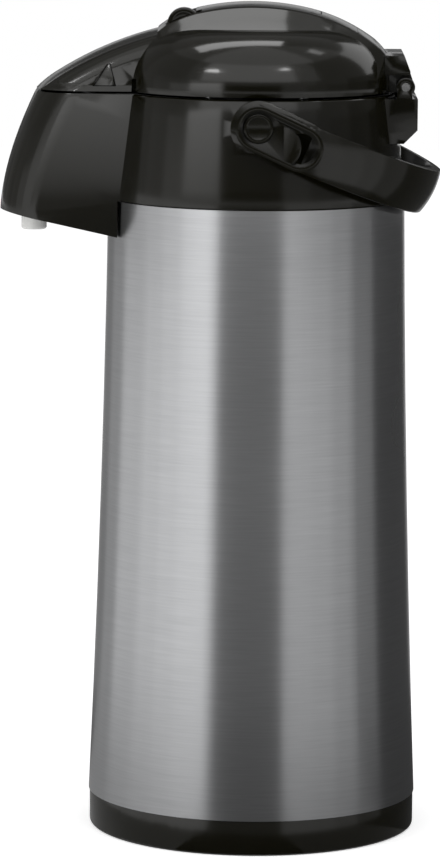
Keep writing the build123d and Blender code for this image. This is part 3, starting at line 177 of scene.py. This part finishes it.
# Two flat cards over the flank of the lid's spine: Z, brightness and corners in X and Y
OVER_CARDS = [
    (0.43, 4.4, ((0.036, -0.057), (0.054, -0.057), (0.048, 0.019), (0.031, 0.019))),
    (0.43, 2.7, ((0.044, 0.047), (0.054, 0.047), (0.054, 0.066), (0.044, 0.066))),
]
ONE_QUAD = [(0, 1, 2, 3)]

# Two small round lamps in the reflections, turned to the lid: place, radius and brightness
SPOTS = [((0.48, -0.39, 0.69), 0.07, 14.0), ((0.56, 0.26, 0.79), 0.05, 14.0)]
SPOT_AIM = Vector((0, 0, 0.37))
SPOT_SIDES = 24


# Materials

def principled(made):
    """A material's main shader."""
    return made.node_tree.nodes["Principled BSDF"]


def material(name):
    """A new node material and its main shader."""
    made = bpy.data.materials.new(name)
    made.use_nodes = True
    return made, principled(made)


def add(made, kind, **values):
    """A node in a material or world, with its input values and properties set."""
    node = made.node_tree.nodes.new(kind)
    for key, value in values.items():
        if key in node.inputs:
            node.inputs[key].default_value = value
        else:
            setattr(node, key, value)
    return node


def link(made, a, b):
    """A link from one socket to another."""
    made.node_tree.links.new(a, b)


def noise(made, scale, detail=3.0, stretch=(1, 1, 1)):
    """Object-space noise, stretched along the axes."""
    place = add(made, "ShaderNodeTexCoord")
    mapping = add(made, "ShaderNodeMapping", Scale=stretch)
    pattern = add(made, "ShaderNodeTexNoise", Scale=scale, Detail=detail)
    link(made, place.outputs["Object"], mapping.inputs["Vector"])
    link(made, mapping.outputs["Vector"], pattern.inputs["Vector"])
    return pattern.outputs["Fac"]


def spread(made, source, low, high, start=NOISE_LOW, end=NOISE_HIGH):
    """A value moved from the range start to end into the range low to high."""
    scale = add(made, "ShaderNodeMapRange", clamp=False)
    scale.inputs["From Min"].default_value = start
    scale.inputs["From Max"].default_value = end
    scale.inputs["To Min"].default_value = low
    scale.inputs["To Max"].default_value = high
    link(made, source, scale.inputs["Value"])
    return scale.outputs["Result"]


def tint(made, source, dark, light):
    """A colour ramp over a value."""
    ramp = add(made, "ShaderNodeValToRGB")
    ramp.color_ramp.elements[0].color = (*dark, 1)
    ramp.color_ramp.elements[1].color = (*light, 1)
    link(made, source, ramp.inputs["Fac"])
    return ramp.outputs["Color"]


def bump(made, source, strength):
    """A surface ripple from a value."""
    node = add(made, "ShaderNodeBump", Strength=strength, Distance=BUMP_DEPTH)
    link(made, source, node.inputs["Height"])
    return node.outputs["Normal"]


def moulded(name, dark, light, least_rough, most_rough, grain, grain_scale):
    """Moulded plastic or rubber: faint mottling, uneven gloss and a fine surface ripple."""
    made, shader = material(name)
    broad = noise(made, MOULDED_SCALE)
    fine = noise(made, grain_scale)
    link(made, tint(made, broad, dark, light), shader.inputs["Base Color"])
    link(made, spread(made, broad, least_rough, most_rough), shader.inputs["Roughness"])
    link(made, bump(made, fine, grain), shader.inputs["Normal"])
    return made


def metal(name, scale, dark, light, least_rough, most_rough, share):
    """Plated steel or silvered glass, with uneven colour and gloss."""
    made, shader = material(name)
    broad = noise(made, scale)
    link(made, tint(made, broad, dark, light), shader.inputs["Base Color"])
    link(made, spread(made, broad, least_rough, most_rough), shader.inputs["Roughness"])
    shader.inputs["Metallic"].default_value = share
    return made


def brushed(name):
    """Satin stainless steel with fine lines running round the body."""
    made, shader = material(name)
    lines = noise(made, BRUSHED_LINE_SCALE, BRUSHED_LINE_DETAIL, BRUSHED_LINE_STRETCH)
    broad = noise(made, BRUSHED_BROAD_SCALE)
    link(made, tint(made, lines, BRUSHED_DARK, BRUSHED_LIGHT), shader.inputs["Base Color"])
    link(made, spread(made, broad, *BRUSHED_ROUGHNESS), shader.inputs["Roughness"])
    link(made, bump(made, lines, BRUSHED_LINE_BUMP), shader.inputs["Normal"])
    tangent = add(made, "ShaderNodeTangent", direction_type="RADIAL", axis="Z")
    link(made, tangent.outputs["Tangent"], shader.inputs["Tangent"])
    shader.inputs["Metallic"].default_value = 1.0
    shader.inputs["Anisotropic"].default_value = BRUSHED_ANISOTROPY
    shader.inputs["Anisotropic Rotation"].default_value = BRUSHED_ROTATION
    return made


def all_materials():
    """The material of each slot in the record."""
    made = {slot: moulded(*values) for slot, values in MOULDED.items()}
    made.update({slot: metal(*values) for slot, values in METALS.items()})
    made[BRUSHED_SLOT] = brushed("brushed_steel")
    return made


looks = all_materials()
slots = {row["node"]: row["material_slot"] for row in frame["record"]["subparts"]}


# Pieces

def smooth_by_angle(limit):
    """Joins a mesh's doubled points and shades it smooth, apart from edges sharper than the limit."""
    tree = bpy.data.node_groups.new("smooth_by_angle", "GeometryNodeTree")
    tree.interface.new_socket("Geometry", in_out="INPUT", socket_type="NodeSocketGeometry")
    tree.interface.new_socket("Geometry", in_out="OUTPUT", socket_type="NodeSocketGeometry")
    start = tree.nodes.new("NodeGroupInput")
    end = tree.nodes.new("NodeGroupOutput")
    plain = tree.nodes.new("GeometryNodeRemoveAttribute")
    plain.inputs["Name"].default_value = "custom_normal"
    joined = tree.nodes.new("GeometryNodeMergeByDistance")
    joined.inputs["Distance"].default_value = SAME_POINT
    smooth = tree.nodes.new("GeometryNodeSetShadeSmooth")
    creases = tree.nodes.new("GeometryNodeSetShadeSmooth")
    creases.domain = "EDGE"
    creases.inputs["Shade Smooth"].default_value = False
    angle = tree.nodes.new("GeometryNodeInputMeshEdgeAngle")
    sharper = tree.nodes.new("FunctionNodeCompare")
    sharper.operation = "GREATER_THAN"
    sharper.inputs[1].default_value = math.radians(limit)
    tree.links.new(start.outputs[0], plain.inputs["Geometry"])
    tree.links.new(plain.outputs["Geometry"], joined.inputs["Geometry"])
    tree.links.new(joined.outputs["Geometry"], smooth.inputs["Geometry"])
    tree.links.new(smooth.outputs["Geometry"], creases.inputs["Geometry"])
    tree.links.new(angle.outputs["Unsigned Angle"], sharper.inputs[0])
    tree.links.new(sharper.outputs["Result"], creases.inputs["Selection"])
    tree.links.new(creases.outputs["Geometry"], end.inputs[0])
    return tree


soft_shading = smooth_by_angle(SMOOTH_LIMIT)


def finish_cad_node(name, node):
    """A CAD piece keeps its shape and gets softened edges, smooth shading and its material."""
    node.data.materials.clear()
    node.data.materials.append(looks[slots[name]])
    if name in SOFT_EDGES:
        joined = node.modifiers.new("joined", "WELD")
        joined.merge_threshold = SAME_POINT
        edges = node.modifiers.new("soft edges", "BEVEL")
        edges.width = SOFT_EDGES[name]
        edges.segments = SOFT_EDGE_SEGMENTS
        edges.limit_method = "ANGLE"
        edges.angle_limit = math.radians(SOFT_EDGE_ANGLE)
    shading = node.modifiers.new("smooth by angle", "NODES")
    shading.node_group = soft_shading


def compress(name, joint, axis, towards_high):
    """A bellows or spring gets its own copy of its mesh; it is not made shorter."""
    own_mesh(nodes[name])


# Camera, floor and light

def make_camera():
    """The photograph's camera."""
    data = bpy.data.cameras.new("camera")
    data.lens = CAMERA_LENS
    data.sensor_width = CAMERA_SENSOR
    data.clip_end = CAMERA_FAR_CLIP
    camera = bpy.data.objects.new("camera", data)
    bpy.context.scene.collection.objects.link(camera)
    camera.location = (CAMERA_DISTANCE, 0.0, CAMERA_HEIGHT)
    look = CAMERA_AIM - camera.location
    camera.rotation_mode = "QUATERNION"
    turn = Quaternion((0, 0, 1), math.radians(CAMERA_ROLL))
    camera.rotation_quaternion = look.to_track_quat("-Z", "Y") @ turn
    bpy.context.scene.camera = camera


def make_world():
    """White where the camera, glossy and clear surfaces see it; a soft grey light otherwise."""
    world = bpy.data.worlds.new("studio")
    world.use_nodes = True
    bpy.context.scene.world = world
    background = world.node_tree.nodes["Background"]
    background.inputs["Color"].default_value = WORLD_GREY
    seen = add(world, "ShaderNodeBackground", Color=WHITE)
    path = add(world, "ShaderNodeLightPath")
    clear = add(world, "ShaderNodeMath", operation="MAXIMUM")
    link(world, path.outputs["Is Camera Ray"], clear.inputs[0])
    link(world, path.outputs["Is Transmission Ray"], clear.inputs[1])
    glossy = add(world, "ShaderNodeMath", operation="MAXIMUM")
    link(world, clear.outputs[0], glossy.inputs[0])
    link(world, path.outputs["Is Glossy Ray"], glossy.inputs[1])
    mix = add(world, "ShaderNodeMixShader")
    link(world, glossy.outputs[0], mix.inputs["Fac"])
    link(world, background.outputs[0], mix.inputs[1])
    link(world, seen.outputs[0], mix.inputs[2])
    link(world, mix.outputs[0], world.node_tree.nodes["World Output"].inputs["Surface"])


def floor_material():
    """Pale floor that the camera sees as the white backdrop, with the object's shadow on it."""
    made, shader = material("pale_floor")
    broad = noise(made, FLOOR_NOISE_SCALE)
    link(made, tint(made, broad, FLOOR_DARK, FLOOR_LIGHT), shader.inputs["Base Color"])
    shader.inputs["Roughness"].default_value = FLOOR_ROUGHNESS
    shader.inputs["Specular IOR Level"].default_value = 0.0
    shader.inputs["Emission Color"].default_value = WHITE
    path = add(made, "ShaderNodeLightPath")
    lift = add(made, "ShaderNodeMath", operation="MULTIPLY")
    lift.inputs[1].default_value = FLOOR_LIFT
    link(made, path.outputs["Is Camera Ray"], lift.inputs[0])
    link(made, lift.outputs[0], shader.inputs["Emission Strength"])
    return made


def make_floor():
    """The floor under the object."""
    bpy.ops.mesh.primitive_plane_add(size=1)
    plane = bpy.context.object
    plane.name = "floor"
    plane.scale = (FLOOR_SIZE, FLOOR_SIZE, 1)
    plane.data.materials.append(floor_material())


def area_light(name, place, aim, size, power):
    """A soft lamp that neither the camera nor a reflection shows."""
    data = bpy.data.lights.new(name, "AREA")
    data.shape = "RECTANGLE"
    data.size, data.size_y = size
    data.energy = power
    lamp = bpy.data.objects.new(name, data)
    bpy.context.scene.collection.objects.link(lamp)
    lamp.location = place
    lamp.rotation_mode = "QUATERNION"
    lamp.rotation_quaternion = (Vector(aim) - Vector(place)).to_track_quat("-Z", "Y")
    lamp.visible_camera = False
    lamp.visible_glossy = False


def glow(name, strength):
    """A card's or flag's own brightness."""
    made, shader = material(name)
    shader.inputs["Base Color"].default_value = BLACK
    shader.inputs["Specular IOR Level"].default_value = 0
    shader.inputs["Emission Color"].default_value = WHITE
    shader.inputs["Emission Strength"].default_value = strength
    return made


def reflected_only(name, points, faces, made):
    """A card, flag or lamp that only the object's reflections show."""
    mesh = bpy.data.meshes.new(name)
    mesh.from_pydata(points, [], faces)
    mesh.materials.append(made)
    card = bpy.data.objects.new(name, mesh)
    bpy.context.scene.collection.objects.link(card)
    card.visible_camera = False
    card.visible_diffuse = False
    card.visible_transmission = False
    card.visible_shadow = False


def ring_card(name, start, end, foot, head, strength):
    """A card between two arcs round the object's axis, each given by its radius and height."""
    steps = max(2, round((end - start) / RING_STEP))
    turns = [math.radians(start + (end - start) * i / steps) for i in range(steps + 1)]
    points = [(r * math.cos(t), r * math.sin(t), z) for r, z in (foot, head) for t in turns]
    faces = [(i, i + 1, i + steps + 2, i + steps + 1) for i in range(steps)]
    reflected_only(name, points, faces, glow(name, strength))


def near_card():
    """A card that fades from its upper to its lower edge."""
    made = glow("near_card", NEAR_CARD_HIGH_STRENGTH)
    place = add(made, "ShaderNodeTexCoord")
    parts = add(made, "ShaderNodeSeparateXYZ")
    link(made, place.outputs["Object"], parts.inputs["Vector"])
    fade = spread(
        made, parts.outputs["Z"],
        NEAR_CARD_LOW_STRENGTH, NEAR_CARD_HIGH_STRENGTH, NEAR_CARD_LOW, NEAR_CARD_HIGH)
    link(made, fade, principled(made).inputs["Emission Strength"])
    first, last = NEAR_CARD_ENDS
    low, high = NEAR_CARD_LOW, NEAR_CARD_HIGH
    points = [(*first, low), (*last, low), (*last, high), (*first, high)]
    reflected_only("near_card", points, ONE_QUAD, made)


def spot(name, centre, radius, strength):
    """A round lamp face turned to the object's lid."""
    centre = Vector(centre)
    facing = (SPOT_AIM - centre).to_track_quat("Z", "Y")
    turns = [math.radians(360 / SPOT_SIDES * i) for i in range(SPOT_SIDES)]
    rim = [Vector((radius * math.cos(t), radius * math.sin(t), 0)) for t in turns]
    points = [centre + facing @ p for p in rim]
    reflected_only(name, points, [tuple(range(SPOT_SIDES))], glow(name, strength))


def make_cards():
    """Everything that only the reflections show."""
    for band, (foot, head, cards) in enumerate(CARD_BANDS):
        ends = [start for start, strength in cards[1:]] + [BAND_END]
        for index, ((start, strength), end) in enumerate(zip(cards, ends)):
            ring_card(f"card_{band}_{index}", start, end, foot, head, strength)
    near_card()
    for index, (z, strength, corners) in enumerate(OVER_CARDS):
        name = f"over_card_{index}"
        reflected_only(name, [(x, y, z) for x, y in corners], ONE_QUAD, glow(name, strength))
    for index, (centre, radius, strength) in enumerate(SPOTS):
        spot(f"spot_{index}", centre, radius, strength)


for name, node in nodes.items():
    finish_cad_node(name, node)
for row in COMPRESSED:
    compress(*row)

make_camera()
make_world()
make_cards()
make_floor()
for row in LAMPS:
    area_light(*row)

bpy.context.scene.view_settings.view_transform = "Standard"
